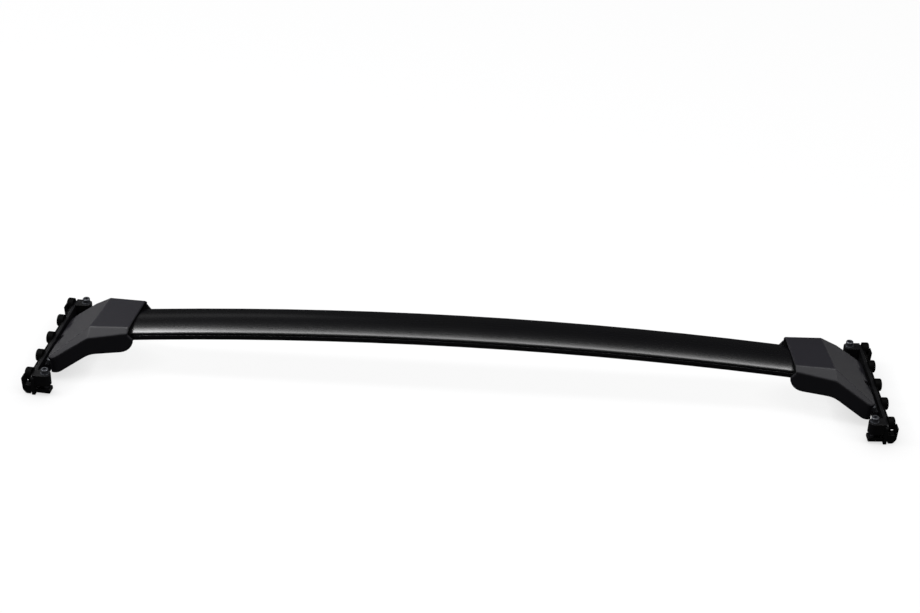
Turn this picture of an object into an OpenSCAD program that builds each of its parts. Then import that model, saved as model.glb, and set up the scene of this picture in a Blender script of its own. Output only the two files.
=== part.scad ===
// Roof rack crossbar: a bowed aluminium bar with a moulded, toed foot at each end.
// Millimetres. X runs along the bar, the front is -Y, Z is up from the ground it rests on.
// A foot is drawn once in its own frame: +X outboard from the rail line, +Y to the rear.

/* [Rail span] */
// Half of the distance between the two rail lines, on the axis of the bar
rail_half = 556; // [450:1:650]
// Toe of each foot, the angle of the rail to the centre line of the car
toe = 5; // [0:0.5:7]

/* [Crossbar] */
// Depth of the bar from front nose to rear nose
bar_w = 66; // [58:1:70]
// Crown of the top face above the noses
bar_crown = 13.5; // [12:0.5:15]
// Belly of the underside below the noses
bar_belly = 11; // [10:0.5:13]
// Radius of each nose
nose_r = 7; // [5:0.5:8]
// Wall of the extrusion
bar_wall = 2.2; // [1.6:0.1:3]
// Solid metal left behind each nose
nose_depth = 8; // [6:0.5:10]
// Thickness of the two upright webs
web_t = 2; // [1.5:0.1:3]
// Clear width of the middle chamber
chamber_w = 28; // [24:1:32]
// Height of the groove along each nose
groove_h = 1.8; // [1:0.1:3]
// Depth of the groove behind the foremost line of each nose
groove_d = 3; // [2:0.1:4]
// Height of the groove's middle above the noses
groove_z = 3.5; // [2.5:0.1:4]
// Radius that the bar is bowed to
bow_r = 5250; // [3600:50:9000]
// Height of the noses at mid length
bar_z = 76; // [72:0.5:84]
// Length of the bar that each cover hides
bar_inside = 35; // [28:1:38]

/* [Foot cover] */
// Length of the cover from its mouth to the rail line
cover_len = 116; // [112:1:124]
// Wall of the moulded cover
cover_wall = 2.4; // [2:0.1:3]
// Room beside the bar's nose, out to the cover's side at its mouth
mouth_side = 8; // [7:0.5:11]
// Widening of each side from the mouth to the fold
fold_side = 9; // [6:0.5:11]
// Widening of each side from the fold to the rail edge
edge_side = 12; // [9:0.5:14]
// Distance from the rail line back to the fold
fold_back = 66; // [60:1:72]
// Distance from the rail line back to the cover's outer edge
edge_back = 7; // [6.5:0.5:9]
// Slant of the outer edge against the rail
edge_slant = 2.5; // [0:0.5:2.5]
// Height of the slope plate at the outer edge
edge_z = 27.5; // [26:0.5:30]
// Height of the skirt's lower edge beside the bar
skirt_z = 39; // [36:0.5:42]
// Height of the skirt's lower edge beside the rail
skirt_low = 12.5; // [10:0.5:14]
// Radius of the skirt's corner below the mouth
skirt_r = 17; // [12:1:20]
// Length over which the skirt's lower edge falls, from the fold towards the rail
skirt_run = 39; // [34:1:44]
// Radius where the skirt starts to fall
skirt_knee = 30; // [20:1:40]
// Radius where the skirt levels out beside the rail
skirt_toe = 12; // [8:1:16]
// Height of the mouth's upright part, down from the flat top
mouth_brow = 9; // [6:0.5:12]
// Slant of the mouth against the rail
mouth_slant = 2.5; // [0:0.5:5]
// Reach of the skirt past the mouth, towards mid length
mouth_lean = 6; // [0:0.5:8]
// Slant of the fold against the rail
fold_slant = 5; // [0:0.5:6]
// Room beside the bar's nose, out to the edge of the flat top at the mouth
flat_side = 1; // [0:0.5:3]
// Angle of the long facets beside the flat top
facet_angle = 40; // [34:1:44]
// Flare of the long facets towards the rail
facet_flare = 3.3; // [1:0.1:5]
// Angle of the corner facets beside the slope plate
corner_angle = 36.5; // [34:0.5:40]
// Fall of the corner facets towards the rail
corner_fall = 20.5; // [18:0.5:23]
// Radius of the screw notch in the outer edge
notch_r = 7; // [6:0.5:8]

/* [Mouth seal] */
// Thickness of the seal along the bar
seal_t = 3; // [2:0.5:4]
// Height of the seal over the bar's crest
seal_lip = 0.9; // [0.8:0.1:1.4]
// Distance that the seal sits inside the mouth
seal_inset = 1.5; // [1:0.5:3]

/* [Foot casting] */
// Length of the tongue inside the bar
tongue_len = 40; // [34:1:48]
// Thickness of the sloping web
cast_web = 4.5; // [3.5:0.5:6]
// Thickness of each rib
rib_t = 4; // [3:0.5:5]
// Distance between neighbouring ribs
rib_pitch = 17; // [14:0.5:19]
// Thickness of the flange that carries the rail bracket
flange_t = 6; // [5:0.5:7]
// Half of the flange's width
flange_half = 52; // [46:1:54]
// Height of the flange's lower edge
flange_low = 8; // [6:0.5:9]

/* [Rail bracket] */
// Half of the bracket's length along the rail
bracket_half = 98.5; // [96:0.5:102]
// Thickness of the bracket plate
bracket_t = 4; // [3:0.5:5]
// Height of the bracket's upper edge
bracket_top = 30; // [28:0.5:31]
// Height of the strip's lower edge between the legs
strip_low = 10; // [8:0.5:12]
// Width of each leg along the rail
leg_w = 18; // [17:0.5:22]
// Distance of each clamp bolt inboard of the rail line
bolt_in = 17.5; // [16:0.5:19]
// Width of the bolt ear along the rail
ear_w = 15; // [14:0.5:17]
// Height of the ear's upper face
ear_top = 30.9; // [28:0.1:32]

/* [Rail pad] */
// Thickness of the pad between its lobes
pad_t = 3; // [2:0.5:4]
// Height of the pad's lower edge
pad_low = 19; // [18.5:0.5:20]
// Count of the lobes
lobe_count = 5; // [3:1:5]
// Distance from each end of the bracket to the middle of the outer lobe
lobe_end = 10.5; // [9.5:0.5:20]
// Radius of each lobe
lobe_r = 8.5; // [7:0.5:9]
// Thickness of each lobe
lobe_t = 9; // [6:0.5:9.5]
// Height of the lobes' centres
lobe_z = 28; // [27.5:0.5:30]

/* [Clamps] */
// Width of the hook along the rail
hook_w = 12; // [10:0.5:12]
// Thickness of the hook's foot
hook_t = 6; // [5:0.5:6.5]
// Height of the hook's claw
claw_top = 24; // [22:0.5:26]
// Reach of the claw outboard of the rail line
claw_reach = 14.2; // [13:0.2:16]
// Travel of the hook from loose to tight
clamp_travel = 5; // [4:0.5:8]
// Diameter of the clamp bolt
bolt_d = 6; // [5:0.5:6]
// Diameter of the bolt's head
head_d = 10; // [9:0.5:11]
// Height of the bolt's head
head_h = 6; // [5:0.5:6]
// Width across the flats of the bolt's socket
socket_af = 5; // [4:0.5:5]
// Thickness of the washer under the head
washer_t = 1.6; // [1:0.1:2]
// Diameter of the washer
washer_d = 12; // [11:0.5:13]
// Width across the flats of the thin nut
nut_af = 10; // [8:0.5:10]
// Thickness of the thin nut
nut_t = 3.2; // [2.5:0.1:3.6]

/* [Screws] */
// Diameter of the screws that hold the bar to its tongue
bar_screw_d = 6; // [5:0.5:6]
// Distance of the outer bar screw from the cut end
bar_screw_end = 9; // [8:0.5:12]
// Distance between the two bar screws
bar_screw_gap = 15; // [13:0.5:16]
// Diameter of the screws that hold the bracket to the casting
bracket_screw_d = 6; // [5:0.5:6]
// Distance of each bracket screw from the middle of the foot
bracket_screw_y = 38; // [37:0.5:41]
// Diameter of the cover screw in the notch
cover_screw_d = 4; // [3:0.5:4]

/* [Clearances] */
// Radial clearance of a bolt in its nut
thread_fit = 0.05; // [0.02:0.01:0.1]
// Radial clearance of a screw in a plain hole
hole_fit = 0.3; // [0.2:0.1:0.5]
// Clearance of the tongue in its chamber
tongue_fit = 0.25; // [0.15:0.05:0.4]
// Clearance of the hook in its window
window_fit = 0.4; // [0.3:0.1:0.6]
// Clearance of the hook over the ground
ground_fit = 0.3; // [0.2:0.1:0.5]
// Clearance between the casting and its cover
cast_fit = 0.6; // [0.3:0.1:1.5]
// Clearance under a seated screw head or lug
seat_fit = 0.05; // [0.02:0.01:0.2]
// Clearance of the seal round the bar and in the cover
seal_fit = 0.15; // [0.1:0.05:0.3]

/* [Hidden] */
$fn = 48;

LEFT = -1;
RIGHT = 1;
FRONT = -1;
REAR = 1;
far = 200;

// The bow: the bar's noses lie on one large circle
bow_fn = 900;
bar_short = cover_len - bar_inside;
bar_reach = rail_half - bar_short;
function bow_z(x) = bar_z - bow_r + sqrt(bow_r * bow_r - x * x);

// The bar's section: two wide arcs that run into the nose circles
nose_y = bar_w / 2 - nose_r;
function wide_r(rise) = (nose_y * nose_y + rise * rise - nose_r * nose_r) / (2 * (rise - nose_r));
crown_r = wide_r(bar_crown);
belly_r = wide_r(bar_belly);
crown_a = atan2(nose_y, crown_r - bar_crown);
belly_a = atan2(nose_y, belly_r - bar_belly);
chamber_half = bar_w / 2 - nose_depth;

// The cover's half widths at its mouth, on its flat top there, at its fold and at its rail edge
mouth_half = bar_w / 2 + mouth_side;
flat_half = bar_w / 2 + flat_side;
fold_half = mouth_half + fold_side;
edge_half = fold_half + edge_side;

// The cover stands on the bar's crest at its mouth
mouth_x = rail_half - cover_len;
cover_top = bow_z(mouth_x) + bar_crown + seal_lip + cover_wall;
slope_rise = (cover_top - edge_z) / (fold_back - edge_back);
slope_angle = atan(slope_rise);

// Each clamp stands in the middle of its leg; its heights run from the ground up
clamp_y = bracket_half - leg_w / 2;
lobe_pitch = 2 * (bracket_half - lobe_end) / (lobe_count - 1);
foot_low = ground_fit + 3;
foot_top = foot_low + hook_t;
ear_low = foot_top + clamp_travel + 1;
head_low = ear_top + washer_t;
bolt_low = foot_low - 1.8;
// Floor of the hook's throat, which stays under the pad when the hook is tight
throat_z = pad_low - clamp_travel - 0.6;
ear_in = bolt_in + ear_w / 2;

// How far the cover's plan is drawn past the mouth, before the mouth is cut
open_end = 40;
// Radius of the plan at the fold and at the rail edge
fold_r = 45;
edge_r = 9;
// The seal ends this far above the skirt's lower edge
seal_lift = 1;

// The screw lug inside the notch
lug_z = edge_z - 5;
lug_t = 2.5;
lug_wall = 2;

// The casting's ribs start this far outboard of the bar's cut end, so that the toe turns them clear of it
head_gap = 5.5;
lug_x = edge_back + 2.5;
button_h = 3.3;

// The casting's flange ends under the lug, and its screws stand mid way up the strip it shares with the bracket
flange_top = lug_z - lug_t - seat_fit;
bracket_screw_z = (strip_low + flange_top) / 2;

function turned(a) = [cos(a), sin(a)];
function unit(v) = v / norm(v);
// Points along an arc, without its last one
function arc(c, r, a0, a1, n) = [for (i = [0 : n - 1]) c + r * turned(a0 + (a1 - a0) * i / n)];
// The points that round one corner b, between a and c
function corner(a, b, c, r, n) =
    let (p = unit(a - b), q = unit(c - b), half = acos(p * q) / 2)
    let (o = b + unit(p + q) * r / sin(half), s = b + p * r / tan(half) - o, e = b + q * r / tan(half) - o)
    let (a0 = atan2(s[1], s[0]), sweep = (atan2(e[1], e[0]) - a0 + 540) % 360 - 180)
    r <= 0 ? [b] : [for (i = [0 : n]) o + r * turned(a0 + sweep * i / n)];
// A closed outline with each corner rounded to its own radius
function rounded(pts, radii, n = 6) =
    let (last = len(pts) - 1)
    [for (i = [0 : last])
        each corner(pts[i == 0 ? last : i - 1], pts[i], pts[i == last ? 0 : i + 1], radii[i], n)];

// Outline of the bar's section, grown by g: heights first, depths second
function section(g) = concat(
    arc([bar_crown - crown_r, 0], crown_r + g, -crown_a, crown_a, 28),
    arc([0, nose_y], nose_r + g, crown_a, 180 - belly_a, 10),
    arc([belly_r - bar_belly, 0], belly_r + g, 180 - belly_a, 180 + belly_a, 28),
    arc([0, -nose_y], nose_r + g, 180 + belly_a, 360 - crown_a, 10));

// Sweeps a section along the bow from one distance to another
module along_bow(from_x, to_x) {
    a0 = asin(from_x / bow_r);
    a1 = asin(to_x / bow_r);
    translate([0, 0, bar_z - bow_r])
        rotate([90, 0, 0])
            rotate([0, 0, 90 - a1])
                rotate_extrude(angle = a1 - a0, $fn = bow_fn)
                    translate([bow_r, 0])
                        children();
}

// Places a piece square to the bow at a distance from mid length
module on_bow(x) {
    translate([x, 0, bow_z(x)])
        rotate([0, asin(x / bow_r), 0])
            children();
}

// The left side is the right side's mirror image
module on_side(side) {
    mirror([side == LEFT ? 1 : 0, 0, 0])
        children();
}

module in_foot() {
    translate([rail_half, 0, 0])
        rotate([0, 0, toe])
            children();
}

module at_clamp(end) {
    translate([0, end * clamp_y, 0])
        children();
}

// Draws an outline of [x, z] points as an upright plate of width w, middle at y = 0
module upright(w) {
    rotate([90, 0, 0])
        linear_extrude(w, center = true)
            children();
}

module chambers() {
    difference() {
        intersection() {
            polygon(section(-bar_wall));
            square([far, 2 * chamber_half], center = true);
        }
        for (side = [-1, 1])
            translate([-far / 2, side * (chamber_w + web_t) / 2 - web_t / 2])
                square([far, web_t]);
    }
}

module crossbar() {
    color("#1b1b1d")
    difference() {
        along_bow(-bar_reach, bar_reach)
            difference() {
                polygon(section(0));
                chambers();
                for (side = [-1, 1])
                    translate([groove_z, side * bar_w / 2])
                        square([groove_h, 2 * groove_d], center = true);
            }
        for (side = [LEFT, RIGHT], i = [0, 1])
            on_side(side)
                on_bow(bar_reach - bar_screw_end - i * bar_screw_gap)
                    translate([0, 0, -bar_belly - 1])
                        cylinder(r = bar_screw_d / 2 + hole_fit, h = bar_belly);
    }
}

// Where the axis of the bar runs in the foot's frame, at x from the rail line
function axis_y(x) = -x * tan(toe);

// Where the fold crosses the foot, at y across it
function fold_at(y) = (-fold_back - y * sin(fold_slant)) / cos(fold_slant);

// Ends of the cover's side walls in plan, drawn in by t: at the open end, at the fold and at the rail edge
function open_point(side, t) =
    let (x = -cover_len - open_end, flare = (fold_half - mouth_half) / (cover_len - fold_back))
    [x, axis_y(x) + side * (mouth_half - t - flare * open_end)];
function fold_point(side, t) = [-fold_back, axis_y(-fold_back) + side * (fold_half - t)];
// The rail edge can be moved out by e along the side walls
function edge_point(side, t, e) =
    let (p = [-edge_back + side * edge_half * tan(edge_slant), side * (edge_half - t)], d = p - fold_point(side, t))
    p + d * e / d[0];

// The cover's plan, drawn in by t, with its rail edge moved out by e and its mouth left open
module cover_plan(t, e) {
    polygon(rounded(
        [open_point(FRONT, t), fold_point(FRONT, t), edge_point(FRONT, t, e),
            edge_point(REAR, t, e), fold_point(REAR, t), open_point(REAR, t)],
        [0, fold_r, edge_r - t, edge_r - t, fold_r, 0]));
}

// The space under the cover's flat top and slope plate, lowered by t
module roof(t) {
    drop = t / cos(slope_angle);
    rotate([0, 0, fold_slant])
        upright(2 * far)
            polygon([[-far, -far], [far, -far], [far, cover_top - drop - (far + fold_back) * slope_rise],
                [-fold_back + (drop - t) / slope_rise, cover_top - t], [-far, cover_top - t]]);
}

// Everything under a sloping plane through the origin, lowered by t
module below_plane(t) {
    translate([-2 * far, -2 * far, -4 * far - t])
        cube(4 * far);
}

// The space under the long facet on one side of the flat top
module below_long_facet(side, t) {
    translate([-cover_len, axis_y(-cover_len) + side * flat_half, cover_top])
        rotate([0, 0, side * facet_flare - toe])
            rotate([-side * facet_angle, 0, 0])
                below_plane(t);
}

// The space under the corner facet, which meets the long facet and the slope plate at the fold
module below_corner_facet(side, t) {
    y = axis_y(-fold_back) + side * (flat_half + (cover_len - fold_back) * tan(facet_flare));
    translate([fold_at(y), y, cover_top])
        rotate([0, corner_fall, 0])
            rotate([-side * corner_angle, 0, 0])
                below_plane(t);
}

// The cover's outer form drawn in by t, before its skirt is cut
module cover_form(t, e) {
    intersection() {
        translate([0, 0, -far])
            linear_extrude(2 * far)
                cover_plan(t, e);
        roof(t);
        below_long_facet(FRONT, t);
        below_long_facet(REAR, t);
        below_corner_facet(FRONT, t);
        below_corner_facet(REAR, t);
    }
}

// The skirt's side view as [x, z], s outboard of the mouth and its lower edge raised by lift
module skirt(s, lift) {
    rotate([0, 0, mouth_slant])
        translate([s, 0, 0])
            upright(2 * far)
                polygon(rounded(
                    [[-cover_len, far], [-cover_len, cover_top - mouth_brow], [-cover_len - mouth_lean, skirt_z + skirt_r + 2],
                        [-cover_len - mouth_lean, skirt_z + 1 + lift], [-fold_back, skirt_z - 1 + lift],
                        [-fold_back + skirt_run, skirt_low + lift], [far, skirt_low + lift], [far, far]],
                    [0, 0, 0, skirt_r, skirt_knee, skirt_toe, 0, 0]));
}

module foot_cover(side) {
    color("#2c2b2f")
    on_side(side) in_foot()
    difference() {
        intersection() {
            union() {
                difference() {
                    cover_form(0, 0);
                    cover_form(cover_wall, 20);
                }
                translate([-edge_back, 0, lug_z - lug_t])
                    cylinder(r = notch_r + lug_wall, h = far);
            }
            cover_form(0, 0);
            skirt(0, 0);
        }
        translate([-edge_back, 0, lug_z])
            cylinder(r = notch_r, h = far);
        translate([-lug_x, 0, 0])
            cylinder(r = cover_screw_d / 2 + hole_fit, h = far);
    }
}

module mouth_seal(side) {
    color("#141414")
    on_side(side)
    difference() {
        in_foot()
            difference() {
                intersection() {
                    cover_form(cover_wall + seal_fit, 0);
                    skirt(seal_inset, seal_lift);
                }
                skirt(seal_inset + seal_t, -far);
            }
        along_bow(mouth_x - 30, mouth_x + 30)
            polygon(section(seal_fit));
    }
}

module tongue() {
    along_bow(bar_reach - tongue_len, bar_reach + 8)
        intersection() {
            polygon(section(-bar_wall - tongue_fit));
            square([far, chamber_w - 2 * tongue_fit], center = true);
        }
}

// Side view of the casting's ribs, from the bar's end down to the flange
module rib_view(web_only) {
    head_x = -bar_short + head_gap;
    head_z = bow_z(bar_reach);
    under = cover_wall + cast_fit + cast_web;
    drop = under / cos(slope_angle);
    difference() {
        polygon([[head_x, head_z - bar_belly + 2], [-edge_back - 30, skirt_low + 12], [-bracket_t - flange_t - 6, flange_low + 4],
            [-bracket_t - 1, flange_low + 4], [-bracket_t - 1, cover_top], [head_x, cover_top]]);
        if (web_only)
            polygon([[head_x + 6, -far], [head_x + 6, cover_top - under], [-fold_back, cover_top - under],
                [far, cover_top - drop - (far + fold_back) * slope_rise], [far, -far]]);
    }
}

module foot_casting(side) {
    rib_c = axis_y(-fold_back / 2 - 6);
    color("#8d9094")
    on_side(side)
    difference() {
        union() {
            tongue();
            in_foot() {
                intersection() {
                    cover_form(cover_wall + cast_fit, 2);
                    union() {
                        upright(2 * far)
                            rib_view(true);
                        for (i = [-1.5 : 1.5])
                            translate([0, rib_c + i * rib_pitch, 0])
                                upright(rib_t)
                                    rib_view(false);
                    }
                    translate([-far, -far, 0])
                        cube([far - bracket_t - 0.5, 2 * far, far]);
                }
                translate([-bracket_t - flange_t, -flange_half, flange_low])
                    cube([flange_t, 2 * flange_half, flange_top - flange_low]);
                intersection() {
                    translate([-lug_x, 0, flange_low])
                        cylinder(r = cover_screw_d / 2 + 2.5, h = flange_top - flange_low);
                    translate([-far - bracket_t, -far, 0])
                        cube([far, 2 * far, far]);
                }
            }
        }
        in_foot() {
            translate([-edge_back, 0, lug_z - lug_t])
                cylinder(r = notch_r + lug_wall + cast_fit, h = far);
            translate([-lug_x, 0, flange_low + 3])
                cylinder(r = cover_screw_d / 2 + thread_fit, h = far);
            for (end = [FRONT, REAR])
                translate([-far / 2, end * bracket_screw_y, bracket_screw_z])
                    rotate([0, 90, 0])
                        cylinder(r = bracket_screw_d / 2 + hole_fit, h = far);
        }
        for (i = [0, 1])
            on_bow(bar_reach - bar_screw_end - i * bar_screw_gap)
                translate([0, 0, -bar_belly])
                    cylinder(r = bar_screw_d / 2 + thread_fit, h = bar_belly + 3);
    }
}

// Face view of the rail bracket as [y, z]: a strip with a leg at each end
module bracket_face() {
    b = bracket_half;
    leg = bracket_half - leg_w;
    difference() {
        polygon(rounded(
            [[-b, 0], [-leg, 0], [-leg, strip_low], [leg, strip_low], [leg, 0], [b, 0],
                [b, bracket_top], [-b, bracket_top]],
            [2, 2, 5, 5, 2, 2, 6, 6]));
        for (end = [FRONT, REAR])
            translate([end * clamp_y - hook_w / 2 - window_fit, foot_low - window_fit])
                square([hook_w + 2 * window_fit, hook_t + clamp_travel + 2 * window_fit]);
    }
}

module rail_bracket(side) {
    color("#2a2b2e")
    on_side(side) in_foot()
    difference() {
        union() {
            translate([-bracket_t, 0, 0])
                rotate([90, 0, 90])
                    linear_extrude(bracket_t)
                        bracket_face();
            for (end = [FRONT, REAR])
                at_clamp(end)
                    translate([0, 0, ear_low])
                        linear_extrude(ear_top - ear_low)
                            polygon(rounded(
                                [[-ear_in, -ear_w / 2], [-bracket_t / 2, -ear_w / 2],
                                    [-bracket_t / 2, ear_w / 2], [-ear_in, ear_w / 2]],
                                [ear_w / 2 - 0.5, 0, 0, ear_w / 2 - 0.5]));
        }
        for (end = [FRONT, REAR]) {
            at_clamp(end)
                translate([-bolt_in, 0, 0])
                    cylinder(r = bolt_d / 2 + hole_fit, h = far);
            translate([-far / 2, end * bracket_screw_y, bracket_screw_z])
                rotate([0, 90, 0])
                    cylinder(r = bracket_screw_d / 2 + thread_fit, h = far);
        }
    }
}

// One lobe: a turned button with a rounded rim, its axis along X
module lobe() {
    rim = 2;
    rotate([0, 90, 0])
        rotate_extrude()
            polygon(concat([[0, 0], [lobe_r, 0]], arc([lobe_r - rim, lobe_t - rim], rim, 0, 90, 6),
                [[lobe_r - rim, lobe_t], [0, lobe_t]]));
}

module rail_pad(side) {
    pad_half = bracket_half - 1;
    color("#111111")
    on_side(side) in_foot()
    union() {
        rotate([90, 0, 90])
            linear_extrude(pad_t)
                polygon(rounded(
                    [[-pad_half, pad_low], [pad_half, pad_low], [pad_half, bracket_top - 0.5],
                        [-pad_half, bracket_top - 0.5]],
                    [3, 3, 5, 5]));
        for (i = [0 : lobe_count - 1])
            translate([0, (i - (lobe_count - 1) / 2) * lobe_pitch, lobe_z])
                lobe();
    }
}

// Side view of the hook as [x, z]: a foot under the ear, then a claw outboard of the rail line
module hook_view() {
    polygon(rounded(
        [[-ear_in + 0.5, foot_low], [1.2, foot_low], [2.8, ground_fit], [claw_reach - 5.2, ground_fit],
            [claw_reach - 1, ground_fit + 6], [claw_reach, claw_top], [claw_reach - 1.6, claw_top - 0.5],
            [claw_reach - 4, throat_z], [1.2, throat_z], [1.2, foot_top], [-ear_in + 0.5, foot_top]],
        [1.5, 0.8, 1, 3.5, 6, 0.4, 0.3, 1.5, 1.5, 0.5, 1.5], 5));
}

module hex(af, h) {
    cylinder(r = af / sqrt(3), h = h, $fn = 6);
}

module clamp_hook(side, end) {
    color("#232426")
    on_side(side) in_foot() at_clamp(end)
    difference() {
        upright(hook_w)
            hook_view();
        translate([-bolt_in, 0, 0])
            cylinder(r = bolt_d / 2 + hole_fit, h = far);
        translate([-bolt_in, 0, 0])
            hex(nut_af + 0.1, foot_low + nut_t + 0.1);
    }
}

module clamp_nut(side, end) {
    color("#77797c")
    on_side(side) in_foot() at_clamp(end)
    translate([-bolt_in, 0, foot_low])
        difference() {
            hex(nut_af, nut_t);
            translate([0, 0, -1])
                cylinder(r = bolt_d / 2 + thread_fit, h = nut_t + 2);
        }
}

module clamp_bolt(side, end) {
    color("#77797c")
    on_side(side) in_foot() at_clamp(end)
    translate([-bolt_in, 0, 0])
        difference() {
            union() {
                translate([0, 0, bolt_low])
                    cylinder(d = bolt_d, h = head_low + 1 - bolt_low);
                translate([0, 0, head_low])
                    rotate_extrude()
                        polygon([[0, 0], [head_d / 2, 0], [head_d / 2, head_h - 0.6], [head_d / 2 - 0.6, head_h],
                            [0, head_h]]);
            }
            translate([0, 0, head_low + head_h / 2])
                hex(socket_af, head_h);
        }
}

module clamp_washers(side) {
    color("#77797c")
    on_side(side) in_foot()
    for (end = [FRONT, REAR])
        at_clamp(end)
            translate([-bolt_in, 0, ear_top])
                difference() {
                    cylinder(d = washer_d, h = washer_t);
                    translate([0, 0, -1])
                        cylinder(r = bolt_d / 2 + hole_fit, h = washer_t + 2);
                }
}

// A button-head screw with its head below z = 0 and its shank up to z = reach
module button_screw(d, reach) {
    rise = button_h - 1;
    difference() {
        union() {
            cylinder(d = d, h = reach);
            translate([0, 0, -1])
                cylinder(r = d * 0.875, h = 1);
            translate([0, 0, -button_h])
                cylinder(r1 = d * 0.875 - rise, r2 = d * 0.875, h = rise);
        }
        translate([0, 0, -button_h - 1])
            hex(d * 2 / 3, 1 + button_h * 0.6);
    }
}

module bar_screws(side) {
    color("#77797c")
    on_side(side)
    for (i = [0, 1])
        on_bow(bar_reach - bar_screw_end - i * bar_screw_gap)
            translate([0, 0, -bar_belly])
                button_screw(bar_screw_d, bar_belly + 1);
}

module bracket_screws(side) {
    color("#77797c")
    on_side(side) in_foot()
    for (end = [FRONT, REAR])
        translate([-bracket_t - flange_t - seat_fit, end * bracket_screw_y, bracket_screw_z])
            rotate([0, 90, 0])
                button_screw(bracket_screw_d, flange_t + bracket_t);
}

module cover_screw(side) {
    color("#a9abae")
    on_side(side) in_foot()
    translate([-lug_x, 0, lug_z])
        rotate([180, 0, 0])
            button_screw(cover_screw_d, lug_z - flange_low - 4);
}

crossbar();
foot_cover(LEFT);  // foot_cover_left
foot_cover(RIGHT);  // foot_cover_right
mouth_seal(LEFT);  // mouth_seal_left
mouth_seal(RIGHT);  // mouth_seal_right
foot_casting(LEFT);  // foot_casting_left
foot_casting(RIGHT);  // foot_casting_right
rail_bracket(LEFT);  // rail_bracket_left
rail_bracket(RIGHT);  // rail_bracket_right
rail_pad(LEFT);  // rail_pad_left
rail_pad(RIGHT);  // rail_pad_right
clamp_hook(LEFT, FRONT);  // clamp_hook_front_left
clamp_hook(LEFT, REAR);  // clamp_hook_rear_left
clamp_hook(RIGHT, FRONT);  // clamp_hook_front_right
clamp_hook(RIGHT, REAR);  // clamp_hook_rear_right
clamp_nut(LEFT, FRONT);  // clamp_nut_front_left
clamp_nut(LEFT, REAR);  // clamp_nut_rear_left
clamp_nut(RIGHT, FRONT);  // clamp_nut_front_right
clamp_nut(RIGHT, REAR);  // clamp_nut_rear_right
clamp_bolt(LEFT, FRONT);  // clamp_bolt_front_left
clamp_bolt(LEFT, REAR);  // clamp_bolt_rear_left
clamp_bolt(RIGHT, FRONT);  // clamp_bolt_front_right
clamp_bolt(RIGHT, REAR);  // clamp_bolt_rear_right
clamp_washers(LEFT);  // clamp_washers_left
clamp_washers(RIGHT);  // clamp_washers_right
bar_screws(LEFT);  // bar_screws_left
bar_screws(RIGHT);  // bar_screws_right
bracket_screws(LEFT);  // bracket_screws_left
bracket_screws(RIGHT);  // bracket_screws_right
cover_screw(LEFT);  // cover_screw_left
cover_screw(RIGHT);  // cover_screw_right
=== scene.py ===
"""Looks, light and camera for the roof rack crossbar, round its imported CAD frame.

Lengths are in metres, apart from those whose name ends in mm.
"""
import logging
import math
from dataclasses import dataclass, field
from enum import Enum
from typing import Any

import bpy
from mathutils import Matrix, Vector

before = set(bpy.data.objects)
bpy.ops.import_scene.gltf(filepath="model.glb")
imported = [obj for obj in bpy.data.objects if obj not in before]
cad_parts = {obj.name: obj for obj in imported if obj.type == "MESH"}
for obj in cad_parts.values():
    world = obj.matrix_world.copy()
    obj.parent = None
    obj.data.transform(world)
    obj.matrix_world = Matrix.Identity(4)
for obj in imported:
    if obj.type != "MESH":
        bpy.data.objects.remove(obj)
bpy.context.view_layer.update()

LOG = logging.getLogger("crossbar")
MM = 0.001
SIDES = ("left", "right")
ENDS = ("front", "rear")
Socket = bpy.types.NodeSocket
Tree = bpy.types.NodeTree


class Grain(Enum):
    """The kinds of surface pattern that the object's processes leave."""

    EXTRUDED = "extruded"
    MOULDED = "moulded"
    RUBBER = "rubber"
    CAST = "cast"
    COATED = "coated"
    PLATED = "plated"


@dataclass(frozen=True)
class Finish:
    """One material's surface, in the words of the process that makes it.

    Attributes:
        name: Material name, for the real material.
        colour: sRGB hex of the surface without gloss.
        roughness: Middle of the gloss variation, 0 mirror to 1 chalk.
        grain: Pattern that the process leaves.
        grain_mm: Size of the pattern's cells.
        relief_mm: Height of the pattern.
        metallic: Share of the surface that reflects as bare metal.
        mottle: Share by which the colour drifts over a few centimetres.
        edge_mm: Radius to which arrises are rounded by eye.
        worn: Hex of the tone that rubbed arrises show, or an empty string.
        gloss: Strength of the clear reflection, 0.5 for common plastics.
        ior: Index of refraction, which for plastics, rubber and lacquer is near 1.5.
    """

    name: str
    colour: str
    roughness: float
    grain: Grain
    grain_mm: float
    relief_mm: float
    metallic: float = 0.0
    mottle: float = 0.1
    edge_mm: float = 0.5
    worn: str = ""
    gloss: float = 0.5
    ior: float = 1.5


# Black anodised aluminium: a dark satin skin whose fine die lines draw one long soft highlight
ANODISED = Finish(
    name="black_anodised_aluminium", colour="#08080a", roughness=0.25,
    grain=Grain.EXTRUDED, grain_mm=0.35, relief_mm=0.0015, edge_mm=0.3, gloss=0.6,
)
# Spark-grained polypropylene: a dull charcoal whose planes part by tone, not by glints
POLYPROPYLENE = Finish(
    name="grained_black_polypropylene", colour="#15141b", roughness=0.5,
    grain=Grain.MOULDED, grain_mm=0.55, relief_mm=0.02, mottle=0.12, edge_mm=3.6, worn="#1a1920", gloss=0.54,
)
# Vulcanised rubber: the deepest black, with a faint bloom that keeps its round edges readable
EPDM = Finish(
    name="black_epdm_rubber", colour="#050505", roughness=0.62,
    grain=Grain.RUBBER, grain_mm=0.8, relief_mm=0.012, mottle=0.25, edge_mm=0.9, worn="#0a0a0b", gloss=0.04,
)
# Die-cast aluminium: a grey, slightly pitted skin that shows under and behind the cover
CASTING = Finish(
    name="die_cast_aluminium", colour="#5c5e62", roughness=0.48, metallic=0.8,
    grain=Grain.CAST, grain_mm=1.4, relief_mm=0.05, mottle=0.3, worn="#8b8d91",
)
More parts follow.
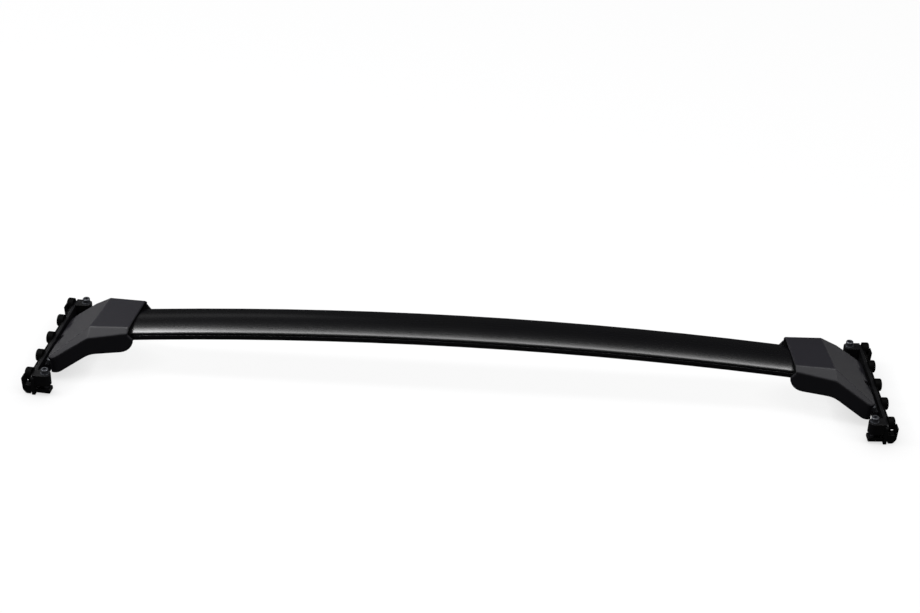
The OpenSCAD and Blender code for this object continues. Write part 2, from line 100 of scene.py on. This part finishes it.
# Powder-coated steel: black with orange peel and a sharper gloss than the cover
COATED_STEEL = Finish(
    name="powder_coated_steel", colour="#0a0a0c", roughness=0.42,
    grain=Grain.COATED, grain_mm=1.8, relief_mm=0.02, worn="#222226", gloss=0.4,
)
# Coated forged steel: the hooks' slightly coarser black, rubbed grey where they meet the rail
FORGED_STEEL = Finish(
    name="coated_forged_steel", colour="#08080a", roughness=0.48,
    grain=Grain.COATED, grain_mm=2.6, relief_mm=0.035, mottle=0.2, edge_mm=0.6, worn="#222225", gloss=0.35,
)
# Zinc-plated steel: dull grey metal with turning rings, the palest spots on the object
ZINC = Finish(
    name="zinc_plated_steel", colour="#66686d", roughness=0.42, metallic=0.85,
    grain=Grain.PLATED, grain_mm=0.25, relief_mm=0.004, mottle=0.2, edge_mm=0.25, worn="#8a8c90",
)

# Clouds in which a finish slowly changes its tone and its flatness, and how far the flatness strays
DRIFT_MM = 38.0
WAVE_MM = 0.06
# How far the pattern moves the roughness, and by what factor it moves the tone
ROUGHNESS_SPREAD = (-0.05, 0.07)
TONE_SPREAD = (0.86, 1.12)
# Squeeze of the noise along the bar, which draws it out into die lines
DIE_LINES = (0.004, 1.0, 1.0)
# Squeeze of the noise round a fastener, which draws it out into turning marks
TURNING_MARKS = (0.08, 0.08, 1.0)
# Cosine between the true and the rounded normal where rubbing begins, and where it is full
RUBBED = (0.98, 0.8)
# Vertices closer than this are one
WELD_MM = 0.001


def linear(code: str) -> tuple[float, float, float, float]:
    """Turns an sRGB hex colour into the linear colour that sockets take.

    Args:
        code: Colour as "#rrggbb".

    Returns:
        Linear red, green and blue, and alpha 1.
    """
    parts = [int(code[i : i + 2], 16) / 255 for i in (1, 3, 5)]
    r, g, b = (c / 12.92 if c <= 0.04045 else ((c + 0.055) / 1.055) ** 2.4 for c in parts)
    return r, g, b, 1.0


def add_node(tree: Tree, kind: str, settings: dict[str, Any], links: dict[str | int, Any]) -> bpy.types.Node:
    """Adds one node with its settings, and feeds its inputs.

    Args:
        tree: Node tree that gets the node.
        kind: Blender's name of the node type.
        settings: Property name to value.
        links: Input name or number to a socket that feeds it, or to a constant.

    Returns:
        The new node.
    """
    node = tree.nodes.new(kind)
    for name, value in settings.items():
        setattr(node, name, value)
    for key, value in links.items():
        socket = node.inputs[key]
        if isinstance(value, bpy.types.NodeSocket):
            tree.links.new(value, socket)
        else:
            socket.default_value = value
    return node


def per_metre(size_mm: float) -> float:
    """Turns a pattern size into the scale that a texture node takes.

    Args:
        size_mm: Size of one cell of the pattern.

    Returns:
        Cells in a metre.
    """
    return 1.0 / (size_mm * MM)


@dataclass
class MaterialShop:
    """Makes each finish's material once and hands it out again.

    Attributes:
        made: Materials made so far, by name.
    """

    made: dict[str, bpy.types.Material] = field(default_factory=dict)

    def get(self, finish: Finish) -> bpy.types.Material:
        """Finds or makes a material.

        Args:
            finish: The finish asked for.

        Returns:
            Its material.
        """
        if finish.name not in self.made:
            self.made[finish.name] = self._make(finish)
            LOG.info("made material %s", finish.name)
        return self.made[finish.name]

    def _make(self, finish: Finish) -> bpy.types.Material:
        """Builds one procedural material.

        Args:
            finish: What the material is like.

        Returns:
            The material.
        """
        material = bpy.data.materials.new(finish.name)
        material.use_nodes = True
        tree = material.node_tree
        tree.nodes.clear()
        place = add_node(tree, "ShaderNodeTexCoord", {}, {}).outputs["Object"]
        drift = self._noise(tree, place, DRIFT_MM, 3.0)
        grain = self._grain(tree, place, finish)
        smoothest, roughest = (finish.roughness + step for step in ROUGHNESS_SPREAD)
        rough = add_node(
            tree, "ShaderNodeMapRange", {"clamp": True},
            {"Value": grain, "To Min": smoothest, "To Max": roughest},
        ).outputs[0]
        surface = add_node(
            tree, "ShaderNodeBsdfPrincipled", {},
            {
                "Base Color": self._colour(tree, finish, drift, grain),
                "Roughness": rough,
                "Metallic": finish.metallic,
                "IOR": finish.ior,
                "Specular IOR Level": finish.gloss,
                "Normal": self._relief(tree, finish, grain, drift),
            },
        )
        add_node(tree, "ShaderNodeOutputMaterial", {}, {"Surface": surface.outputs[0]})
        return material

    def _noise(self, tree: Tree, place: Socket, size_mm: float, detail: float) -> Socket:
        """Adds cloud noise of a real size.

        Args:
            tree: Node tree.
            place: Socket of the coordinate.
            size_mm: Size of the clouds.
            detail: Octaves of finer noise.

        Returns:
            Socket of the noise, 0 to 1.
        """
        links = {"Vector": place, "Scale": per_metre(size_mm), "Detail": detail, "Roughness": 0.55}
        return add_node(tree, "ShaderNodeTexNoise", {}, links).outputs["Fac"]

    def _drawn_out(self, tree: Tree, place: Socket, squeeze: tuple[float, float, float]) -> Socket:
        """Squeezes a coordinate, so that the noise on it comes out long.

        Args:
            tree: Node tree.
            place: Socket of the coordinate.
            squeeze: Factor along each axis.

        Returns:
            Socket of the squeezed coordinate.
        """
        return add_node(tree, "ShaderNodeMapping", {}, {"Vector": place, "Scale": squeeze}).outputs[0]

    def _grain(self, tree: Tree, place: Socket, finish: Finish) -> Socket:
        """Adds the pattern that the finish's process leaves.

        Args:
            tree: Node tree.
            place: Socket of the coordinate.
            finish: What the material is like.

        Returns:
            Socket of the pattern's height, 0 to 1.
        """
        size = finish.grain_mm
        if finish.grain is Grain.EXTRUDED:
            return self._noise(tree, self._drawn_out(tree, place, DIE_LINES), size, 3.0)
        if finish.grain is Grain.MOULDED:
            # Spark erosion leaves close shallow pits of uneven size
            links = {"Vector": place, "Scale": per_metre(size), "Randomness": 1.0}
            pits = add_node(tree, "ShaderNodeTexVoronoi", {"feature": "SMOOTH_F1"}, links).outputs["Distance"]
            return self._mix(tree, 0.45, pits, self._noise(tree, place, size * 0.6, 4.0))
        if finish.grain is Grain.CAST:
            # Fine pits over the slower flow marks of the die
            pits = self._noise(tree, place, size, 5.0)
            return self._mix(tree, 0.5, pits, self._noise(tree, place, size * 5, 2.0))
        if finish.grain is Grain.PLATED:
            return self._noise(tree, self._drawn_out(tree, place, TURNING_MARKS), size, 2.0)
        return self._noise(tree, place, size, 3.0 if finish.grain is Grain.RUBBER else 1.0)

    def _mix(self, tree: Tree, share: float, first: Socket, second: Socket) -> Socket:
        """Mixes two heights.

        Args:
            tree: Node tree.
            share: Share of the second height.
            first: Socket of the first height.
            second: Socket of the second height.

        Returns:
            Socket of the mix.
        """
        links = {0: share, 2: first, 3: second}
        return add_node(tree, "ShaderNodeMix", {"data_type": "FLOAT"}, links).outputs[0]

    def _colour(self, tree: Tree, finish: Finish, drift: Socket, grain: Socket) -> Socket:
        """Adds the colour: its slow drift, the grain's fine tone and the rubbed arrises.

        Args:
            tree: Node tree.
            finish: What the material is like.
            drift: Socket of slow noise.
            grain: Socket of the process pattern.

        Returns:
            Socket of the colour.
        """
        base = linear(finish.colour)
        lows, highs = (
            tuple(part * share for part in base[:3]) + (1.0,) for share in (1 - finish.mottle, 1 + finish.mottle)
        )
        slow = add_node(tree, "ShaderNodeMix", {"data_type": "RGBA"}, {0: drift, 6: lows, 7: highs}).outputs[2]
        darkest, lightest = TONE_SPREAD
        links = {"Value": grain, "To Min": darkest, "To Max": lightest}
        fine = add_node(tree, "ShaderNodeMapRange", {}, links).outputs[0]
        toned = add_node(
            tree, "ShaderNodeMix", {"data_type": "RGBA", "blend_type": "MULTIPLY"}, {0: 1.0, 6: slow, 7: fine},
        ).outputs[2]
        if not finish.worn:
            return toned
        arris = self._arris(tree, finish)
        patchy = add_node(
            tree, "ShaderNodeMath", {"operation": "MULTIPLY", "use_clamp": True}, {0: arris, 1: drift},
        ).outputs[0]
        links = {0: patchy, 6: toned, 7: linear(finish.worn)}
        return add_node(tree, "ShaderNodeMix", {"data_type": "RGBA"}, links).outputs[2]

    def _rounded(self, tree: Tree, finish: Finish, samples: int) -> Socket:
        """Adds the normal of the surface as it would be with rounded arrises.

        Args:
            tree: Node tree.
            finish: What the material is like.
            samples: Rays that look for arrises nearby.

        Returns:
            Socket of the normal.
        """
        return add_node(tree, "ShaderNodeBevel", {"samples": samples}, {"Radius": finish.edge_mm * MM}).outputs[0]

    def _arris(self, tree: Tree, finish: Finish) -> Socket:
        """Adds a mask of the arrises, where handling rubs a finish.

        Args:
            tree: Node tree.
            finish: What the material is like.

        Returns:
            Socket that is 0 on faces and near 1 on arrises.
        """
        rounded = self._rounded(tree, finish, 4)
        true = add_node(tree, "ShaderNodeNewGeometry", {}, {}).outputs["Normal"]
        links = {0: rounded, 1: true}
        agree = add_node(tree, "ShaderNodeVectorMath", {"operation": "DOT_PRODUCT"}, links).outputs["Value"]
        begins, full = RUBBED
        links = {"Value": agree, "From Min": begins, "From Max": full, "To Min": 0.0, "To Max": 1.0}
        return add_node(tree, "ShaderNodeMapRange", {"clamp": True}, links).outputs[0]

    def _relief(self, tree: Tree, finish: Finish, grain: Socket, drift: Socket) -> Socket:
        """Adds the normal: rounded arrises, slow waviness and the process pattern.

        Args:
            tree: Node tree.
            finish: What the material is like.
            grain: Socket of the process pattern.
            drift: Socket of slow noise.

        Returns:
            Socket of the normal.
        """
        normal = self._rounded(tree, finish, 6)
        for height, depth_mm in ((drift, WAVE_MM), (grain, finish.relief_mm)):
            links = {"Strength": 1.0, "Distance": depth_mm * MM, "Height": height, "Normal": normal}
            normal = add_node(tree, "ShaderNodeBump", {}, links).outputs[0]
        return normal


class Assembly:
    """CAD nodes that belong together and are dressed together."""

    def finishes(self) -> dict[str, Finish]:
        """Lists the finish of each CAD node.

        Returns:
            Node name to finish.
        """
        raise NotImplementedError

    def dress(self, shop: MaterialShop, arcs: bpy.types.GeometryNodeTree) -> None:
        """Gives the CAD nodes their materials and smooth arcs.

        Args:
            shop: Where the materials come from.
            arcs: Geometry node group that shades arcs as curves.
        """
        for name, finish in self.finishes().items():
            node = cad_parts[name]
            node.data.materials.clear()
            node.data.materials.append(shop.get(finish))
            node.modifiers.new("arcs", "NODES").node_group = arcs
            # Flat faces keep their own normal, so that only the arcs beside them turn
            node.modifiers.new("flats", "WEIGHTED_NORMAL").keep_sharp = True
            LOG.info("dressed %s in %s", name, finish.name)


@dataclass
class Crossbar(Assembly):
    """The bowed bar with the screws that hold it to its feet.

    Attributes:
        bar: Finish of the extrusion.
        screws: Finish of the bar screws.
    """

    bar: Finish = ANODISED
    screws: Finish = ZINC

    def finishes(self) -> dict[str, Finish]:
        """Lists the finish of each CAD node.

        Returns:
            Node name to finish.
        """
        return {"crossbar": self.bar} | {f"bar_screws_{side}": self.screws for side in SIDES}


@dataclass
class Foot(Assembly):
    """One foot: cover, seal, casting, bracket, pad and their screws.

    Attributes:
        side: "left" or "right".
    """

    side: str

    def finishes(self) -> dict[str, Finish]:
        """Lists the finish of each CAD node.

        Returns:
            Node name to finish.
        """
        kinds = {
            "foot_cover": POLYPROPYLENE,
            "mouth_seal": EPDM,
            "foot_casting": CASTING,
            "rail_bracket": COATED_STEEL,
            "rail_pad": EPDM,
            "clamp_washers": ZINC,
            "bracket_screws": ZINC,
            "cover_screw": ZINC,
        }
        return {f"{kind}_{self.side}": finish for kind, finish in kinds.items()}


@dataclass
class Clamp(Assembly):
    """One rail clamp: hook, captive nut and bolt.

    Attributes:
        side: "left" or "right".
        end: "front" or "rear".
    """

    side: str
    end: str

    def finishes(self) -> dict[str, Finish]:
        """Lists the finish of each CAD node.

        Returns:
            Node name to finish.
        """
        kinds = {"clamp_hook": FORGED_STEEL, "clamp_nut": ZINC, "clamp_bolt": ZINC}
        return {f"{kind}_{self.end}_{self.side}": finish for kind, finish in kinds.items()}


def make_arc_shader(crisp_deg: float = 16.0) -> bpy.types.GeometryNodeTree:
    """Makes the node group that shades facets of one arc as one curve, and keeps real arrises crisp.

    Args:
        crisp_deg: Angle between two faces from which their edge stays crisp.

    Returns:
        The geometry node group.
    """
    group = bpy.data.node_groups.new("arcs_as_curves", "GeometryNodeTree")
    for way in ("INPUT", "OUTPUT"):
        group.interface.new_socket("Geometry", in_out=way, socket_type="NodeSocketGeometry")
    start = add_node(group, "NodeGroupInput", {}, {}).outputs[0]
    links = {"Geometry": start, "Name": "custom_normal"}
    plain = add_node(group, "GeometryNodeRemoveAttribute", {}, links).outputs[0]
    links = {"Geometry": plain, "Distance": WELD_MM * MM}
    joined = add_node(group, "GeometryNodeMergeByDistance", {}, links).outputs[0]
    bend = add_node(group, "GeometryNodeInputMeshEdgeAngle", {}, {}).outputs["Unsigned Angle"]
    crisp = add_node(
        group, "FunctionNodeCompare", {"data_type": "FLOAT", "operation": "GREATER_THAN"},
        {0: bend, 1: math.radians(crisp_deg)},
    ).outputs[0]
    links = {"Geometry": joined, "Shade Smooth": True}
    curved = add_node(group, "GeometryNodeSetShadeSmooth", {"domain": "FACE"}, links).outputs[0]
    links = {"Geometry": curved, "Selection": crisp, "Shade Smooth": False}
    edged = add_node(group, "GeometryNodeSetShadeSmooth", {"domain": "EDGE"}, links).outputs[0]
    add_node(group, "NodeGroupOutput", {}, {0: edged})
    return group


@dataclass(frozen=True)
class Shot:
    """The photo's viewpoint, as fitted to it.

    Attributes:
        frame_px: Width of the photo's frame.
        focal_px: Focal length in pixels of that frame.
        tilt: Degrees that the camera looks down.
        roll: Degrees that it leans.
        height_mm: Height over the floor.
        turn: Degrees that the object is turned about the vertical.
        aside_mm: Sideways offset of the object.
        away_mm: Distance of the object along the floor.
        sensor_mm: Width of the sensor.
        sight: Farthest distance that the camera sees.
    """

    frame_px: int = 920
    focal_px: float = 2000.0
    tilt: float = 32.27
    roll: float = -1.65
    height_mm: float = 1534.7
    turn: float = -2.92
    aside_mm: float = 2.9
    away_mm: float = 2248.1
    sensor_mm: float = 36.0
    sight: float = 30.0

    def place(self) -> None:
        """Adds the camera at the photo's viewpoint."""
        tilt, roll = math.radians(self.tilt), math.radians(self.roll)
        ahead = Vector((0, math.cos(tilt), -math.sin(tilt)))
        right = Vector((1, 0, 0))
        down = ahead.cross(right)
        across = math.cos(roll) * right + math.sin(roll) * down
        below = math.cos(roll) * down - math.sin(roll) * right
        # The fit turned the object before a square camera; here the camera turns the other way
        unturn = Matrix.Rotation(math.radians(self.turn), 3, "Z").transposed()
        spot = unturn @ Vector((-self.aside_mm, -self.away_mm, self.height_mm)) * MM
        axes = Matrix([unturn @ across, unturn @ -below, unturn @ -ahead]).transposed()
        data = bpy.data.cameras.new("camera")
        data.sensor_width = self.sensor_mm
        data.lens = self.focal_px * self.sensor_mm / self.frame_px
        data.clip_end = self.sight
        camera = bpy.data.objects.new("camera", data)
        camera.matrix_world = Matrix.Translation(spot) @ axes.to_4x4()
        bpy.context.scene.collection.objects.link(camera)
        bpy.context.scene.camera = camera


@dataclass(frozen=True)
class SoftBox:
    """One studio light.

    Attributes:
        name: Name of the light.
        place: Where it hangs.
        aim: The point that it faces.
        size: Its width and depth.
        watts: Its power.
    """

    name: str
    place: tuple[float, float, float]
    aim: tuple[float, float, float]
    size: tuple[float, float]
    watts: float

    def hang(self) -> None:
        """Adds the light."""
        data = bpy.data.lights.new(self.name, "AREA")
        data.shape = "RECTANGLE"
        data.size, data.size_y = self.size
        data.energy = self.watts
        light = bpy.data.objects.new(self.name, data)
        light.location = self.place
        back = Vector(self.place) - Vector(self.aim)
        light.rotation_euler = back.to_track_quat("Z", "Y").to_euler()
        bpy.context.scene.collection.objects.link(light)


# Powers fitted to the photo: the strip draws the bar's highlight, and the panels part the feet's planes
SOFT_BOXES = (
    SoftBox("overhead_strip", (0.0, -0.1, 1.9), (0.0, 0.0, 0.0), (2.4, 0.45), 24.0),
    SoftBox("left_panel", (-1.3, 0.0, 1.7), (-0.3, 0.0, 0.0), (0.5, 0.9), 23.5),
    SoftBox("right_panel", (1.3, -0.2, 1.7), (0.3, 0.0, 0.0), (0.5, 0.9), 9.5),
    SoftBox("left_rim", (-2.2, 1.6, 0.6), (-0.5, 0.0, 0.0), (1.2, 0.8), 8.0),
    SoftBox("right_rim", (2.2, 1.6, 0.6), (0.5, 0.0, 0.0), (1.2, 0.8), 5.3),
    SoftBox("back_panel", (-1.3, 2.4, 1.6), (-0.3, 0.0, 0.0), (1.4, 0.7), 0.8),
    SoftBox("front_fill", (0.0, -2.6, 0.7), (0.0, 0.0, 0.05), (3.0, 0.6), 5.0),
)


@dataclass(frozen=True)
class Floor:
    """The white floor, which stays dark to everything but the camera so that it lights nothing from below.

    Attributes:
        half: Half its width.
        lit: Hex of the part that the lamps light and that takes their shadows.
        unseen: Hex that all other rays than the camera's meet.
        shade: Distance within which the painted shade dims the floor's glowing white near the object.
        dim: Strength of the white where the painted shade is deepest, under the object.
        open: Strength of the white in the open.
    """

    half: float = 12.0
    lit: str = "#4a4a4b"
    unseen: str = "#2c2c2d"
    shade: float = 0.05
    dim: float = 0.6
    open: float = 0.94

    def lay(self) -> None:
        corners = [(-self.half, -self.half, 0), (self.half, -self.half, 0), (self.half, self.half, 0)]
        corners.append((-self.half, self.half, 0))
        mesh = bpy.data.meshes.new("floor")
        mesh.from_pydata(corners, [], [(0, 1, 2, 3)])
        mesh.materials.append(self._paper())
        floor = bpy.data.objects.new("floor", mesh)
        bpy.context.scene.collection.objects.link(floor)

    def _paper(self) -> bpy.types.Material:
        """Makes matt paper: glowing white, with a soft painted shade close to the feet that an ambient occlusion
        node draws into its glow.

        Returns:
            The material.
        """
        material = bpy.data.materials.new("matt_white_paper")
        material.use_nodes = True
        tree = material.node_tree
        tree.nodes.clear()
        lit = add_node(tree, "ShaderNodeBsdfDiffuse", {}, {"Color": linear(self.lit)}).outputs[0]
        # Painted shade: ambient occlusion dims the white glow close to the object, as a painted contact shadow
        near = add_node(tree, "ShaderNodeAmbientOcclusion", {"samples": 12}, {"Distance": self.shade}).outputs["AO"]
        links = {"Value": near, "To Min": self.dim, "To Max": self.open}
        white = add_node(tree, "ShaderNodeMapRange", {}, links).outputs[0]
        glow = add_node(tree, "ShaderNodeEmission", {}, {"Color": linear("#ffffff"), "Strength": white}).outputs[0]
        seen = add_node(tree, "ShaderNodeAddShader", {}, {0: lit, 1: glow}).outputs[0]
        unseen = add_node(tree, "ShaderNodeBsdfDiffuse", {}, {"Color": linear(self.unseen)}).outputs[0]
        camera_ray = add_node(tree, "ShaderNodeLightPath", {}, {}).outputs["Is Camera Ray"]
        above = add_node(tree, "ShaderNodeMixShader", {}, {0: camera_ray, 1: unseen, 2: seen}).outputs[0]
        # From below the floor is clear, so that the underside can be looked at
        below = add_node(tree, "ShaderNodeBsdfTransparent", {}, {}).outputs[0]
        backfacing = add_node(tree, "ShaderNodeNewGeometry", {}, {}).outputs["Backfacing"]
        both = add_node(tree, "ShaderNodeMixShader", {}, {0: backfacing, 1: above, 2: below}).outputs[0]
        add_node(tree, "ShaderNodeOutputMaterial", {}, {"Surface": both})
        return material


def set_world(dim: float = 0.03) -> None:
    """Sets a dim studio that the camera sees as plain white.

    Args:
        dim: Strength that all other rays than the camera's meet.
    """
    world = bpy.data.worlds.new("studio")
    world.use_nodes = True
    tree = world.node_tree
    tree.nodes.clear()
    dark, white = (
        add_node(tree, "ShaderNodeBackground", {}, {"Color": linear("#ffffff"), "Strength": strength}).outputs[0]
        for strength in (dim, 1.0)
    )
    camera_ray = add_node(tree, "ShaderNodeLightPath", {}, {}).outputs["Is Camera Ray"]
    both = add_node(tree, "ShaderNodeMixShader", {}, {0: camera_ray, 1: dark, 2: white}).outputs[0]
    add_node(tree, "ShaderNodeOutputWorld", {}, {"Surface": both})
    bpy.context.scene.world = world


def main() -> None:
    """Dresses the object and sets the studio round it."""
    logging.basicConfig(level=logging.INFO, format="%(name)s: %(message)s")
    bpy.context.scene.view_settings.view_transform = "Standard"
    shop = MaterialShop()
    assemblies: list[Assembly] = [Crossbar()]
    assemblies += [Foot(side) for side in SIDES]
    assemblies += [Clamp(side, end) for side in SIDES for end in ENDS]
    arcs = make_arc_shader()
    for assembly in assemblies:
        assembly.dress(shop, arcs)
    set_world()
    Floor().lay()
    for box in SOFT_BOXES:
        box.hang()
    Shot().place()


if __name__ == "__main__":
    main()
